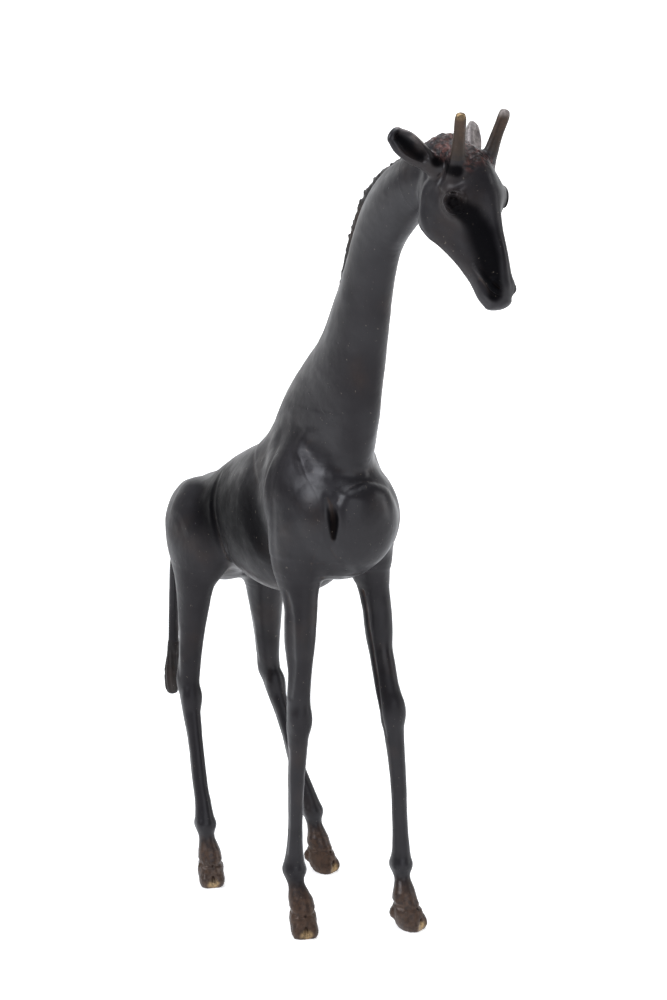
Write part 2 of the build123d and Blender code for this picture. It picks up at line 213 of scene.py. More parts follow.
def relief(rows, through, side=0, parts=4):
    """A stroke that raises or sinks the surface near a line: rows of x, y, z, half width, height.

    How far the surface lies along the through direction hardly matters. A side of 1 or -1 keeps the stroke
    to the left or the right of the animal.
    """
    rows = smooth_rows(rows, parts)
    through = unit(through)
    shape = []
    for start, end in zip(rows[:-1], rows[1:]):
        line = end[:3] - start[:3]
        width = max(start[3], end[3])
        reach = 2 * width * (1 + 2 * np.abs(through))

        def paint(x, y, z, start=start, end=end, line=line):
            d = [x - start[0], y - start[1], z - start[2]]
            t = np.clip(sum(d[n] * line[n] for n in range(3)) / max(np.dot(line, line), 1e-6), 0, 1)
            q = [d[n] - t * line[n] for n in range(3)]
            deep = sum(q[n] * through[n] for n in range(3))
            square = sum(value * value for value in q) - RELIEF_DEPTH * deep * deep
            half = 2 * (start[3] * (1 - t) + end[3] * t)
            height = start[4] * (1 - t) + end[4] * t
            weight = height * np.clip(1 - square / (half * half), 0, 1) ** 2
            return weight * np.clip(side * y / MIDLINE_FADE, 0, 1) if side else weight

        low, high = np.minimum(start[:3], end[:3]) - reach, np.maximum(start[:3], end[:3]) + reach
        shape.append((low, high, paint))
    return "relief", 0, shape


def apply(block, strokes):
    """Work a list of strokes, in order, into a block."""
    for kind, blend, shape in strokes:
        room = blend + 2
        low = np.min([s[0] for s in shape], axis=0) - room
        high = np.max([s[1] for s in shape], axis=0) + room
        slices, _ = block.window(low, high)
        if slices is None:
            continue
        part = Block(block.low + block.step * np.array([s.start for s in slices]), block.step,
                     [s.stop - s.start for s in slices], 0 if kind == "relief" else FAR)
        for piece_low, piece_high, paint in shape:
            window, grid = part.window(piece_low - room, piece_high + room)
            if window is None:
                continue
            value = paint(*grid)
            if kind == "relief":
                old = part.field[window]
                part.field[window] = np.where(np.abs(value) > np.abs(old), value, old)
            else:
                part.field[window] = np.minimum(part.field[window], value)
        if kind == "add":
            block.field[slices] = smooth_min(block.field[slices], part.field, blend)
        elif kind == "carve":
            block.field[slices] = -smooth_min(-block.field[slices], part.field, blend)
        else:
            block.field[slices] -= part.field


# -------- surface of a block
EDGES = [((*pair[:axis], 0, *pair[axis:]), (*pair[:axis], 1, *pair[axis:]))
         for axis in range(3) for pair in ((0, 0), (1, 0), (0, 1), (1, 1))]
CORNERS = [(i, j, k) for i in (0, 1) for j in (0, 1) for k in (0, 1)]


def surface(block):
    """Surface nets: one vertex in each grid cell that the surface passes, one quad on each crossed edge."""
    field = block.field
    inside = field < 0
    shape = np.array(field.shape) - 1
    corners = np.zeros(shape, np.int8)
    for i, j, k in CORNERS:
        corners += inside[i:i + shape[0], j:j + shape[1], k:k + shape[2]]
    cells = np.argwhere((corners > 0) & (corners < 8))
    index = np.full(shape, -1, np.int64)
    index[tuple(cells.T)] = np.arange(len(cells))
    total = np.zeros((len(cells), 3))
    count = np.zeros(len(cells))
    for start, end in EDGES:
        a = field[tuple((cells + start).T)]
        b = field[tuple((cells + end).T)]
        crossed = (a < 0) != (b < 0)
        t = np.where(crossed, a / np.where(crossed, a - b, 1), 0)
        place = np.array(start) + t[:, None] * (np.array(end) - np.array(start))
        total += place * crossed[:, None]
        count += crossed
    vertices = block.low + block.step * (cells + total / count[:, None])
    quads = []
    for axis in range(3):
        across = [(axis + 1) % 3, (axis + 2) % 3]
        near = [slice(1, -1)] * 3
        far = [slice(1, -1)] * 3
        near[axis], far[axis] = slice(0, -1), slice(1, None)
        starts_inside = inside[tuple(near)]
        crossed = starts_inside != inside[tuple(far)]
        edge = np.argwhere(crossed)
        ring = []
        for da, db in ((0, 0), (1, 0), (1, 1), (0, 1)):
            cell = edge.copy()
            cell[:, across[0]] += da
            cell[:, across[1]] += db
            ring.append(index[tuple(cell.T)])
        ring = np.stack(ring, axis=1)
        outward = starts_inside[tuple(edge.T)]
        ring[~outward] = ring[~outward][:, ::-1]
        quads.append(ring)
    return vertices, np.concatenate(quads)


def relax_once(vertices, quads, weight=0.6):
    """Move each vertex part of the way to the mean of its neighbours."""
    a = np.concatenate([quads[:, i] for i in range(4)])
    b = np.concatenate([quads[:, (i + 1) % 4] for i in range(4)])
    degree = np.bincount(a, minlength=len(vertices)) + np.bincount(b, minlength=len(vertices))
    mean = np.stack([
        np.bincount(a, vertices[b, n], len(vertices)) + np.bincount(b, vertices[a, n], len(vertices))
        for n in range(3)
    ], axis=1) / degree[:, None]
    return vertices + weight * (mean - vertices)


def relax(vertices, quads, rounds):
    """Taubin smoothing, which evens out the grid's steps and keeps the volume."""
    for weight in (0.5, -0.52) * rounds:
        vertices = relax_once(vertices, quads, weight)
    return vertices


def normals_of(vertices, quads):
    corner = vertices[quads]
    face = np.cross(corner[:, 2] - corner[:, 0], corner[:, 3] - corner[:, 1])
    normals = np.stack([
        sum(np.bincount(quads[:, i], face[:, n], len(vertices)) for i in range(4)) for n in range(3)
    ], axis=1)
    return normals / np.maximum(np.linalg.norm(normals, axis=1), 1e-9)[:, None]


# -------- rough surfaces
LATTICE = np.random.default_rng(7).random((32, 32, 32)).astype(np.float32)


def noise(x, y, z, scale):
    """Smooth value noise from 0 to 1, its lumps about scale across."""
    total = 0
    cell, share = [], []
    for value in (x, y, z):
        value = value / scale
        floor = np.floor(value)
        t = value - floor
        cell.append(floor.astype(int))
        share.append(t * t * (3 - 2 * t))
    for i, j, k in CORNERS:
        weight = ((share[0] if i else 1 - share[0]) * (share[1] if j else 1 - share[1])
                  * (share[2] if k else 1 - share[2]))
        place = tuple((cell[n] + step) % len(LATTICE) for n, step in enumerate((i, j, k)))
        total = total + weight * LATTICE[place]
    return total


def near(x, y, z, centre, radius):
    """1 at a centre, falling smoothly to 0 at radius."""
    square = (x - centre[0]) ** 2 + (y - centre[1]) ** 2 + (z - centre[2]) ** 2
    return np.clip(1 - square / radius ** 2, 0, 1)


def roughen(vertices, quads, amount):
    """Move vertices along their normals by amount(x, y, z), in mm."""
    return vertices + normals_of(vertices, quads) * amount(*vertices.T)[:, None]


# -------- head directions
HEAD_FORWARD = np.array([cos(HEAD_YAW), sin(HEAD_YAW), 0])
HEAD_LEFT = np.array([-sin(HEAD_YAW), cos(HEAD_YAW), 0])


def at_head(forward, left, z):
    """A point of the head, given forward and left of HEAD_BASE."""
    point = np.array([*HEAD_BASE, z]) + forward * HEAD_FORWARD + left * HEAD_LEFT
    return tuple(point)


def on_head(rows, left=1):
    """Rows that start with forward, out to one side, z, turned into rows of the statue."""
    return [(*at_head(row[0], left * row[1], row[2]), *row[3:]) for row in rows]


def turned(vector, left=1):
    """A direction given as forward, out to one side, up."""
    return vector[0] * HEAD_FORWARD + left * vector[1] * HEAD_LEFT + vector[2] * np.array([0, 0, 1.0])


# -------- the animal, stroke by stroke
TORSO = [
    (-154, 0, 207, 8, 12), (-148, 0, 209, 20, 27), (-129, 0, 213, 29, 34), (-102, 0, 224, 30, 33),
    (-72, 0, 234, 32, 38), (-39, 0, 240, 35, 47), (-11, 0, 250, 34.5, 43), (13, 0, 254, 30, 37),
    (33, 0, 253, 25, 31), (45, 0, 252, 18, 24),
]
NECK = [
    (-15, 0, 262, 25, 40), (2, 0, 291, 21, 42.5), (19.4, 0, 318.4, 17, 36.6), (33, 0, 344, 14.8, 27.3),
    (43.5, 0, 370, 13.2, 22), (52.5, 0, 394.5, 12.2, 18.4), (63, 0, 416.5, 12.1, 17.2),
    (80, 0, 434, 12.4, 17.8), (101, 1, 447.4, 12.8, 16.6), (123, 3, 454, 12, 15),
]
FRONT_RIGHT = [
    (13, -13, 278, 6, 11), (10, -20, 262, 9.6, 18), (12, -24, 226, 11, 16), (18, -25.4, 198, 9.2, 11.6),
    (21, -27, 170, 7, 8.2), (19.4, -27.5, 148, 6.5, 7.8), (19, -27.6, 132, 6.7, 8),
    (17.9, -27.6, 113, 5.4, 6.2), (16.4, -28, 90, 4.6, 5.1), (15.4, -28, 64, 4.4, 4.9),
    (14.5, -28, 48, 5, 5.6), (14, -28, 37, 6.3, 7.2), (15.9, -27.8, 29, 4.7, 5.2),
    (19, -27.6, 22, 6.3, 7), (22.2, -27.2, 15, 7, 7.6),
]
FRONT_LEFT = [
    (13, 13, 278, 6, 11), (8, 22, 262, 9.6, 19), (7.5, 26, 226, 10.5, 16.5), (12, 27.6, 198, 8.2, 10.8),
    (17, 28.6, 170, 6.9, 8.2), (24, 28.4, 148, 6.6, 8), (30, 28.8, 132, 6.7, 8), (32, 30, 113, 5.3, 6.1),
    (34.4, 31, 90, 4.6, 5.1), (36.2, 31.4, 64, 4.4, 4.9), (37.2, 31.6, 48, 5, 5.6),
    (37.4, 31.6, 37, 6.2, 7), (39, 31.4, 29, 4.7, 5.2), (41.6, 31, 22, 6.3, 7), (44.4, 30.4, 15, 7, 7.6),
]
REAR_RIGHT = [
    (-120, -18, 240, 8, 14), (-118, -22, 226, 12.5, 23), (-115, -25, 206, 13.5, 23),
    (-112, -28, 182, 10.4, 16), (-111.5, -30.6, 152, 7.5, 9.8), (-111.5, -32.6, 128, 6.3, 8.4),
    (-109, -33.6, 112, 5.7, 7.6), (-101, -34.6, 90, 4.6, 5.6), (-92, -35.8, 62, 4.4, 5.1),
    (-87, -36.2, 48, 5, 5.7), (-84, -36.4, 37, 6.1, 6.8), (-82.8, -36.2, 29, 4.8, 5.2),
    (-81, -36, 22, 6.2, 6.8), (-79, -36, 15, 7, 7.6),
]
REAR_LEFT = [
    (-120, 17, 240, 8, 14), (-119, 20, 226, 13, 24), (-117, 21.4, 206, 14, 23), (-115.5, 23, 182, 12, 17),
    (-116.5, 25, 152, 8.8, 11), (-116.6, 26.2, 128, 6.8, 8.8), (-112, 27.4, 112, 5.8, 7.6),
    (-99.6, 28.8, 90, 4.6, 5.6), (-85, 29.8, 62, 4.4, 5.1), (-77, 31.8, 48, 5, 5.7),
    (-72, 33, 37, 6.1, 6.8), (-70, 33.4, 29, 4.8, 5.2), (-67.4, 33.8, 22, 6.2, 6.8),
    (-65, 34, 15, 7, 7.6),
]
TAIL = [
    (-138, 0, 231, 8, 8), (-150, -2.4, 229, 5.6, 5.6), (-162.5, -7.6, 214, 4, 4.4),
    (-169.4, -11.6, 189, 3.2, 3.6), (-170, -13.4, 160, 3, 3.2), (-168, -15, 131, 3.4, 3.6),
]
TUFT = [
    (-168.2, -14.8, 134, 3.2, 3.4), (-168, -15.4, 122, 4.4, 4.6), (-168, -16, 110, 5.4, 5.6),
    (-168, -16.4, 101, 4.8, 5), (-168, -16.5, 98, 3.6, 3.6),
]
HEAD = [
    (-23, 0, 471.5, 8, 7.5), (-21, 0, 465.5, 11, 13.5), (-17, 0, 457.5, 12.6, 19),
    (-12, 0, 446, 13.4, 22), (-7.5, 0, 432, 12.2, 20), (1, 0, 417, 10, 15.4), (8, 0, 404, 8.6, 11.8),
    (11.5, 0, 395, 8, 10), (13.5, 0, 389.5, 6.2, 7.4),
]


def hoof_strokes(line, yaw):
    """A cloven hoof under the end of a leg's line, standing on its toes."""
    x, y, _ = line[-1][:3]
    forward = np.array([cos(yaw), sin(yaw), 0])
    left = np.array([-sin(yaw), cos(yaw), 0])

    def at(f, s, z):
        return (*(np.array([x, y]) + f * forward[:2] + s * left[:2]), z)

    ring = [(*at(0.6 + 8.4 * cos(turn), 7.6 * sin(turn), 14.6 - 1.2 * cos(turn)), 0.9, -0.9)
            for turn in np.linspace(0, 2 * pi, 17)]
    strokes = [
        add(1.5, limb([(*at(-1.2, 0, 20), 6.2, 6.8), (*at(0, 0, 15), 7, 7.8), (*at(1.4, 0, 10.5), 7.9, 9),
                       (*at(3, 0, 5.5), 7.5, 9), (*at(4.6, 0, 1), 6, 7.4), (*at(5, 0, -2), 5, 6)], left)),
    ]
    for s in (-1, 1):
        strokes += [
            add(2, ball(at(6.6, 3.6 * s, 4), (6, 4.1, 5.2), forward + 0.1 * s * left)),
            add(1.6, ball(at(-5.4, 3.4 * s, 9), (3.2, 3.2, 4))),
        ]
    strokes += [
        relief(ring, (0.001, 0, 0)),
        carve(1, cord([(*at(14.5, 0, -1), 1.2), (*at(12.4, 0, 3.5), 1.1), (*at(9.6, 0, 9), 0.8),
                       (*at(8.2, 0, 13.5), 0.4)])),
        carve(0.8, cord([(*at(-7.4, 0, 0), 1.0), (*at(-7.6, 0, 5), 0.9), (*at(-8, 0, 10), 0.6)])),
    ]
    return strokes


def leg_strokes(line, yaw, outward):
    """Joints, tendons and the dew claws of one leg."""
    rows = np.array(line, float)

    def at(z, forward, side):
        """A point beside the leg's centre at height z."""
        x = np.interp(z, rows[::-1, 2], rows[::-1, 0])
        y = np.interp(z, rows[::-1, 2], rows[::-1, 1])
        return x + forward, y + side * outward, z

    def groove(places):
        """A line down the leg: rows of z, forward, side, half width, height."""
        return relief([(*at(*place[:3]), *place[3:]) for place in places], (0, 1, 0))

    strokes = [add(9, limb(line))]
    if rows[0, 0] > -60:
        strokes += [
            add(4, ball(at(131, 3.6, 0), (5, 6, 9.5))),  # knee cap
            add(3, ball(at(125, -4, 0), (4, 4.2, 6))),  # bone behind the knee
            add(5, ball(at(180, -1, 1.4), (9.4, 6.4, 24))),  # forearm muscle
            # groove down the outside of the forearm, and the tendons behind the cannon bone
            groove([(206, 2, 9, 2, -0.6), (190, 3, 8, 2.4, -1.5), (168, 2, 7, 2.2, -1.3),
                    (146, 1, 6, 1.8, -0.6)]),
            groove([(112, -1.5, 5, 1.4, -0.6), (80, -1, 4.6, 1.4, -0.8), (48, -1, 5, 1.3, -0.5)]),
            # seam line that was chased, but still shows, down the inside
            groove([(200, 1, -8, 1.2, -1.3), (170, 1, -7, 1.1, -1.4), (140, 0.5, -6, 1.1, -1.1),
                    (116, 0, -5, 1.0, -0.4)]),
        ]
    else:
        strokes += [
            add(4, ball(at(121, -5.2, 0), (5, 5, 9))),  # point of the hock
            add(4, ball(at(112, 4, 0), (4.2, 5.6, 8))),
            # hollow in front of the big tendon, on both sides, and the tendons below the hock
            groove([(156, -3, 0, 2, -0.6), (140, -3.4, 0, 2.4, -0.9), (126, -2.6, 0, 1.8, -0.8)]),
            groove([(102, -1, 0, 1.3, -0.5), (75, -1, 0, 1.3, -0.7), (50, -1, 0, 1.2, -0.4)]),
        ]
    strokes += [
        add(2.2, ball(at(36.5, -3.8, 2.4), (3.4, 2.6, 4))),  # dew claws behind the fetlock
        add(2.2, ball(at(36.5, -3.8, -2.4), (3.4, 2.6, 4))),
        add(2.5, ball(at(37, 2, 0), (4.6, 5.8, 4.4))),  # front of the fetlock
    ]
    return strokes + hoof_strokes(line, yaw)


def trunk_strokes():
    strokes = [
        add(0, limb(TORSO, caps=(4, 10))),
        add(12, limb(NECK)),
        add(10, ball((-18, 0, 286), (32, 16, 19), (1, 0, 0.35))),  # withers
        add(12, ball((-62, 0, 260), (50, 17, 12), (1, 0, 0.26))),  # back
        add(10, ball((-122, 0, 228), (24, 19, 14))),  # croup
        add(8, ball((-50, 0, 212), (44, 27, 18), (1, 0, -0.05))),  # belly
        add(14, ball((34, 0, 246), (16, 19, 26))),  # brisket
        add(14, ball((32, 11, 250), (15, 11, 20))),  # breast, fuller on the left
        add(10, ball((20, -4, 228), (16, 20, 15))),  # between the front legs
    ]
    for s in (-1, 1):
        strokes += [
            # shoulder blade
            add(14, ball((0, 18 * s, 270), (14, 10.5, 27), (0.95, 0, -0.3), (0.3, -0.36 * s, 1))),
            add(14, ball((26, 18 * s, 249), (12, 10.5, 18))),  # point of the shoulder
            add(8, ball((10, 23.6 * s, 233), (16, 11, 26))),  # upper arm
            add(10, ball((-121.5, 21.5 * s, 216), (25, 15.5, 29), (1, 0, 0.1))),  # haunch
            # front of the thigh
            add(8, ball((-97, 23 * s, 213), (13, 10, 25), (1, 0, 0), (-0.35, 0, 1))),
        ]
    return strokes


def trunk_detail():
    front, aside = (1, 0, 0), (0, 1, 0)
    strokes = [
        # the crease round the front of the neck where it meets the chest
        relief([(43, -15, 280, 5, -0.3), (47, -8, 277, 5.6, -2), (49, 0, 276, 6, -2.8),
                (47, 9, 278, 6, -1.4), (42, 16, 281, 5, -0.2)], front),
        # slit between the chest and the right shoulder
        relief([(43, -23, 268, 1.4, -0.2), (45, -21, 262, 1.8, -1.6), (46, -19.6, 254, 2.1, -2.6),
                (45, -18.8, 247, 1.9, -1.8), (43, -18.4, 240, 1.4, -0.2)], (0.86, -0.5, 0)),
    ]
    for s in (-1, 1):
        strokes += [
            # rear edge of the shoulder blade, and the hollow behind it
            relief([(-30, 24 * s, 300, 9, -0.4), (-33, 30 * s, 282, 11, -1.2),
                    (-20, 36 * s, 256, 11, -2.2), (-12, 36 * s, 232, 9, -2.2), (-6, 34 * s, 210, 6, -1)],
                   aside, s),
            relief([(-19, 28 * s, 288, 5, 0.6), (-7, 35 * s, 257, 5, 1.1), (0, 36 * s, 232, 5, 1.1),
                    (7, 34 * s, 212, 4, 0.5)], aside, s),
            # curved ridge over the top of the shoulder, and the hollow inside it
            relief([(25, 22 * s, 300, 2.6, 0.2), (17, 25 * s, 298, 2.6, 0.7), (14, 28 * s, 291, 3, 0.8),
                    (19, 29 * s, 283, 3.2, 0.6), (25, 28 * s, 277, 2.8, 0.2)], (0.4, 0.9 * s, 0)),
            # two folds of the flank, running down into the groin
            relief([(-88, 30 * s, 262, 2.4, -0.3), (-84, 33 * s, 246, 2.6, -1.4),
                    (-77, 34 * s, 225, 2.6, -2.2), (-78, 31 * s, 205, 2.6, -2),
                    (-86, 27 * s, 190, 2, -0.8)], aside, s),
            relief([(-76, 30 * s, 250, 2.6, -0.2), (-69, 34 * s, 230, 2.6, -0.9),
                    (-69, 33 * s, 208, 2.6, -1.1), (-74, 29 * s, 196, 2.4, -0.4)], aside, s),
            # edge beside the mane
            relief([(1, 8 * s, 330, 1.8, 0.2), (17, 7.5 * s, 358, 1.7, 0.6), (31, 7 * s, 396, 1.6, 0.8),
                    (47, 6.6 * s, 427, 1.6, 0.8), (74, 6.6 * s, 450, 1.6, 0.8),
                    (104, 7 * s, 462, 1.6, 0.3)], (0.6, 0, -0.8)),
        ]
    return strokes


def head_strokes():
    strokes = [
        add(6, limb(on_head(HEAD), HEAD_LEFT, caps=(4, 3))),
        add(6, ball(at_head(-27, 0, 466), (13, 11.5, 7.4), turned((1, 0, 0.1)))),  # poll
        add(6, ball(at_head(-6, 0, 455), (9, 10.5, 8), turned((1, 0, -0.8)))),  # forehead
        # bridge of the nose
        add(4, limb(on_head([(6, 0, 446, 6, 5), (9.4, 0, 430, 4.4, 4.8), (15, 0, 414, 4, 4.4),
                             (17.6, 0, 402, 4.4, 3.4)]), HEAD_LEFT)),
        add(4, ball(at_head(16.2, 0, 397), (5, 7, 8))),  # upper lip
        add(2.6, ball(at_head(13.4, 0, 390.4), (7, 5, 3.2), turned((1, 0, 0.22)))),  # lower lip
    ]
    for s in (-1, 1):
        strokes += [
            add(6, ball(at_head(-19, 7.6 * s, 440), (15, 8, 18), turned((1, 0, 0)))),  # cheek
            add(5, ball(at_head(-25, 8.6 * s, 430.6), (9, 6, 8), turned((1, 0, 0)))),  # angle of the jaw
            # jaw bone
            add(5, limb(on_head([(-22, 8, 425, 3.4, 5), (-9, 6.5, 415, 3.2, 5), (2, 5, 403.8, 2.4, 3.6),
                                 (8, 4, 395, 2.4, 3)], s), HEAD_LEFT)),
            add(6, ball(at_head(-1.6, 8.4 * s, 443.4), (9, 8, 12))),  # around the eye
            add(5, ball(at_head(-3.6, 13.4 * s, 443), (8, 7.2, 7.2))),  # eye socket
            # brow
            add(3, ball(at_head(-3.4, 13 * s, 449.4), (5.4, 3.4, 2.6), turned((1, 0.2, -0.15), s))),
            # the hollow side of the face, from the eye to the mouth
            carve(5, limb(on_head([(7, 18, 434, 3.6, 4), (8.4, 15, 426, 5.4, 7), (11, 12.4, 414, 5.2, 7),
                                   (14, 10.6, 405, 3, 3.8)], s), HEAD_LEFT)),
            carve(5, ball(at_head(-6, 17.4 * s, 455.6), (11, 5.6, 6.4))),  # temple
            # nostril wing
            add(1.6, ball(at_head(16.8, 5 * s, 399.6), (3.2, 2.8, 4.6), turned((1, 0, 0.5)))),
            carve(0.8, cord(on_head([(19.6, 6, 399, 0.7), (17.6, 7.4, 401.4, 1.0), (15, 8, 403.6, 0.6)],
                                    s))),
            # mouth
            carve(1.6, cord(on_head([(21.6, 4.4, 392.8, 0.7), (19, 6.8, 393.8, 1.6), (14, 8.6, 397, 1.9),
                                     (9, 9.4, 402.6, 1.2)], s))),
            # folded upper lip, running down and forward over the mouth
            relief(on_head([(20.6, 6, 396.4, 1, 0.5), (16.4, 8, 399.4, 1.3, 1.3),
                            (10.6, 9, 404.6, 1.3, 1.3), (5, 9, 409.6, 1.2, 0.4)], s),
                   turned((0.3, 1, 0), s)),
            # rear edge of the cheek
            relief(on_head([(-15, 13, 455, 2, 0.6), (-24, 14, 449, 2, 1.5), (-27, 13, 438, 2, 1.6),
                            (-25, 11, 427, 2, 0.8)], s), turned((0, 1, 0))),
            # wrinkled ring of the eye, with the ball in it
            carve(1.4, ball(at_head(0.4, 20.6 * s, 443), (4.8, 2.4, 4.6), turned((0.85, -0.5, 0), s))),
            add(0.8, ball(at_head(-1, 17.2 * s, 443), (2.9, 3, 2.7), turned((0.85, -0.5, 0), s))),
        ]
        for reach, height in ((3.6, 1.5), (5.7, 1.1)):
            turns = np.linspace(0, 2 * pi, 15)
            wobble = 0.45 * np.sin(5 * turns + reach)
            ring = [(-0.4 + (reach + w) * 0.85 * cos(turn), 18.8 - (reach + w) * 0.5 * cos(turn),
                     443 + (reach + w) * sin(turn), 0.6, height) for turn, w in zip(turns, wobble)]
            strokes.append(relief(on_head(ring, s), turned((0.5, 0.85, 0), s), parts=2))
    return strokes


EAR = [
    (-19.4, 12, 457.5, 4.6, 4.6), (-22.6, 17.4, 463, 4.2, 5.8), (-26.4, 22.4, 467.8, 3.9, 7.3),
    (-29.8, 26.8, 472.4, 3.6, 7.2), (-32.6, 30, 476, 2.8, 5.2),
]
OSSICONE = [
    (-8.5, 9, 450, 6.6, 6.6), (-6.8, 10.4, 457, 5.4, 5.4), (-4.8, 12, 464, 4.0, 4.0),
    (-1.8, 14.2, 475, 3.2, 3.2), (1.0, 16.2, 484.6, 3.2, 3.2), (1.6, 16.7, 487.4, 2.7, 2.7),
]


EAR_CUP = [
    (-20.4, 20.6, 464.4, 1.4, 2.4), (-22.8, 23, 467.4, 2.4, 4.2), (-26.2, 26.8, 471.8, 2.6, 5),
    (-29.8, 30, 475.6, 1.8, 3),
]


def horn_strokes():
    strokes = []
    for s in (-1, 1):
        strokes += [
            add(3, limb(on_head(EAR, s), turned((1, 0.35, 0.2), s), caps=(2, 3.4))),
            add(5, limb(on_head(OSSICONE, s), HEAD_LEFT, caps=(2, 1.6))),
            # cup of the ear, open to the front
            carve(1, limb(on_head(EAR_CUP, s), turned((1, 0.35, 0.2), s), caps=(2, 2))),
        ]
    return strokes


MANE = [
    (9, 0, 340), (15.5, 0, 356), (22.6, 0, 376), (30.4, 0, 399), (40, 0, 420), (54, 0, 438.6),
    (72, 0, 450.6), (94, 1, 460), (112, 2, 465.6),
]


def mane_strokes():
    """A rough strip of short upright tufts down the back of the neck."""
    line = smooth_rows([(x, y, z, 0) for x, y, z in MANE], 12)[:, :3]
    random = np.random.default_rng(11)
    strokes = [add(0, limb([(*p, 3.4, 3.0) for p in line[::6]], caps=(1, 1)))]
    for index in range(1, len(line) - 1):
        tangent = unit(line[index + 1] - line[index - 1])
        outward = unit(np.cross((0, 1, 0), tangent)) * -1
        lean = random.uniform(0.2, 1.1)
        size = random.uniform(0.75, 1.2)
        centre = line[index] + outward * random.uniform(0.9, 1.9)
        centre = centre + np.array([0, random.uniform(-2.4, 2.4), 0])
        strokes.append(add(0.7, ball(centre, (2.0 * size, 0.9 * size, 1.2), outward - lean * tangent)))
    return strokes


def tuft_strokes():
    strokes = [add(1, limb(TUFT, caps=(1, 2)))]
    for angle in np.arange(9) * 2 * pi / 9:
        rows = [(x + (w - 0.2) * cos(angle + twist), y + (w - 0.2) * sin(angle + twist), z, 0.75)
                for (x, y, z, w, _), twist in zip(TUFT, (0, 0.25, 0.5, 0.7, 0.8))]
        strokes.append(relief([(*row[:3], 0.9, -0.7) for row in rows[1:-1]], (0, 0, 0.001)))
    return strokes


RIGHT, LEFT = -1, 1
LEGS = {
    "front_right": (FRONT_RIGHT, RIGHT_TOE_YAW, RIGHT),
    "front_left": (FRONT_LEFT, LEFT_TOE_YAW, LEFT),
    "rear_right": (REAR_RIGHT, RIGHT_TOE_YAW, RIGHT),
    "rear_left": (REAR_LEFT, LEFT_TOE_YAW, LEFT),
}

GIRAFFE = trunk_strokes()
for leg in LEGS.values():
    GIRAFFE += leg_strokes(*leg)
GIRAFFE += trunk_detail() + [add(5, limb(TAIL, caps=(2, 1)))] + head_strokes() + horn_strokes()


# -------- cutting the castings apart
def half_space(point, normal):
    """Negative on the side that normal points away from."""
    point, normal = np.asarray(point, float), unit(normal)

    def distance(x, y, z):
        return (x - point[0]) * normal[0] + (y - point[1]) * normal[1] + (z - point[2]) * normal[2]

    return distance


def capsule(start, end, radius):
    """Negative inside a rod with round ends."""
    start, end = np.asarray(start, float), np.asarray(end, float)
    line = end - start

    def distance(x, y, z):
        d = [value - start[n] for n, value in enumerate((x, y, z))]
        t = np.clip(sum(d[n] * line[n] for n in range(3)) / np.dot(line, line), 0, 1)
        return np.sqrt(sum((d[n] - t * line[n]) ** 2 for n in range(3))) - radius

    return distance


def inside(cutter):
    """Each casting runs a little past its joint into its neighbour, so the chased joint doesn't show."""
    return lambda x, y, z: cutter(x, y, z) - OVERLAP


def outside(cutter):
    return lambda x, y, z: -cutter(x, y, z) - OVERLAP


NECK_CUT = half_space((20, 0, 318), (0.49, 0, 0.87))
HEAD_CUT = half_space((101, 1, 449), (0.926, 0.062, 0.37))
FRONT_CUT = half_space((0, 0, FRONT_JOINT_Z), (0, 0, 1))
REAR_CUT = half_space((0, 0, REAR_JOINT_Z), (0, 0, 1))
HOOF_CUT = half_space((0, 0, CORONET_Z), (0, 0, 1))
FLOOR = half_space((0, 0, 0), (0, 0, -1))
TAIL_REGION = capsule((-168, -5, 212), (-173, -16, 120), 13)
TUFT_CUT = half_space((0, 0, 131), (0, 0, 1))
EAR_REGIONS = {s: capsule(at_head(-26, 24 * s, 470), at_head(-36, 34 * s, 482), 11)
               for s in (RIGHT, LEFT)}
OSSICONE_REGIONS = {s: capsule(at_head(-2.4, 13.8 * s, 474), at_head(2, 17 * s, 492), 9)
                    for s in (RIGHT, LEFT)}


def front_leg_region(x, y, z):
    """Negative below the front joints, ahead of the belly."""
    return np.maximum(FRONT_CUT(x, y, z), -24 - x)


def cast(low, high, step, strokes, cutters):
    """The surface of one casting: strokes inside a box, cut by every cutter."""
    step = step * COARSE
    low = np.floor(np.array(low, float) / step) * step
    counts = np.ceil((np.array(high, float) - low) / step).astype(int) + 1
    block = Block(low, step, counts, FAR)
    apply(block, strokes)
    grid = block.grid((0, 0, 0), counts)
    for cutter in cutters:
        block.field = np.maximum(block.field, cutter(*grid)).astype(np.float32)
    for axis in range(3):
        for end in (0, -1):
            edge = [slice(None)] * 3
            edge[axis] = end
            block.field[tuple(edge)] = np.maximum(block.field[tuple(edge)], 0.01)
    vertices, quads = surface(block)
    return relax(vertices, quads, 4), quads


def fading(distance, start, end):
    """1 where distance is below start, falling smoothly to 0 at end."""
    t = np.clip((end - distance) / (end - start), 0, 1)
    return t * t * (3 - 2 * t)


def shaded(vertices, chains):
    """How near vertices are to chains of x, y, z, radius: 1 on a chain, 0 from its radius outwards."""
    share = np.zeros(len(vertices))
    for chain in chains:
        rows = np.array(chain, float)
        for start, end in zip(rows, rows[1:] if len(rows) > 1 else rows):
            line = end - start
            t = np.clip((vertices - start[:3]) @ line[:3] / max(line[:3] @ line[:3], 1e-6), 0, 1)
            distance = np.linalg.norm(vertices - start[:3] - t[:, None] * line[:3], axis=1)
            share = np.maximum(share, fading(distance / (start[3] + t * line[3]), 0.35, 1))
    return share


def patina(vertices, quads):
    """How hollow, worn, brown, gritty and dusty each vertex is, and how much painted shade it gets, each
    from 0 to 1.
    """
    x, y, z = vertices.T
    smooth = relax_once(relax_once(relax_once(vertices, quads), quads), quads)
    hollow = np.einsum("ij,ij->i", smooth - vertices, normals_of(vertices, quads))
    brown = fading(z, 21, 33) + 0.7 * fading(-z, -482, -462) * (x > 130)
    looks = {"hollow": hollow, "brown": np.clip(brown, 0, 1)}
    looks.update((label, shaded(vertices, chains)) for label, chains in MARKS.items())
    return looks


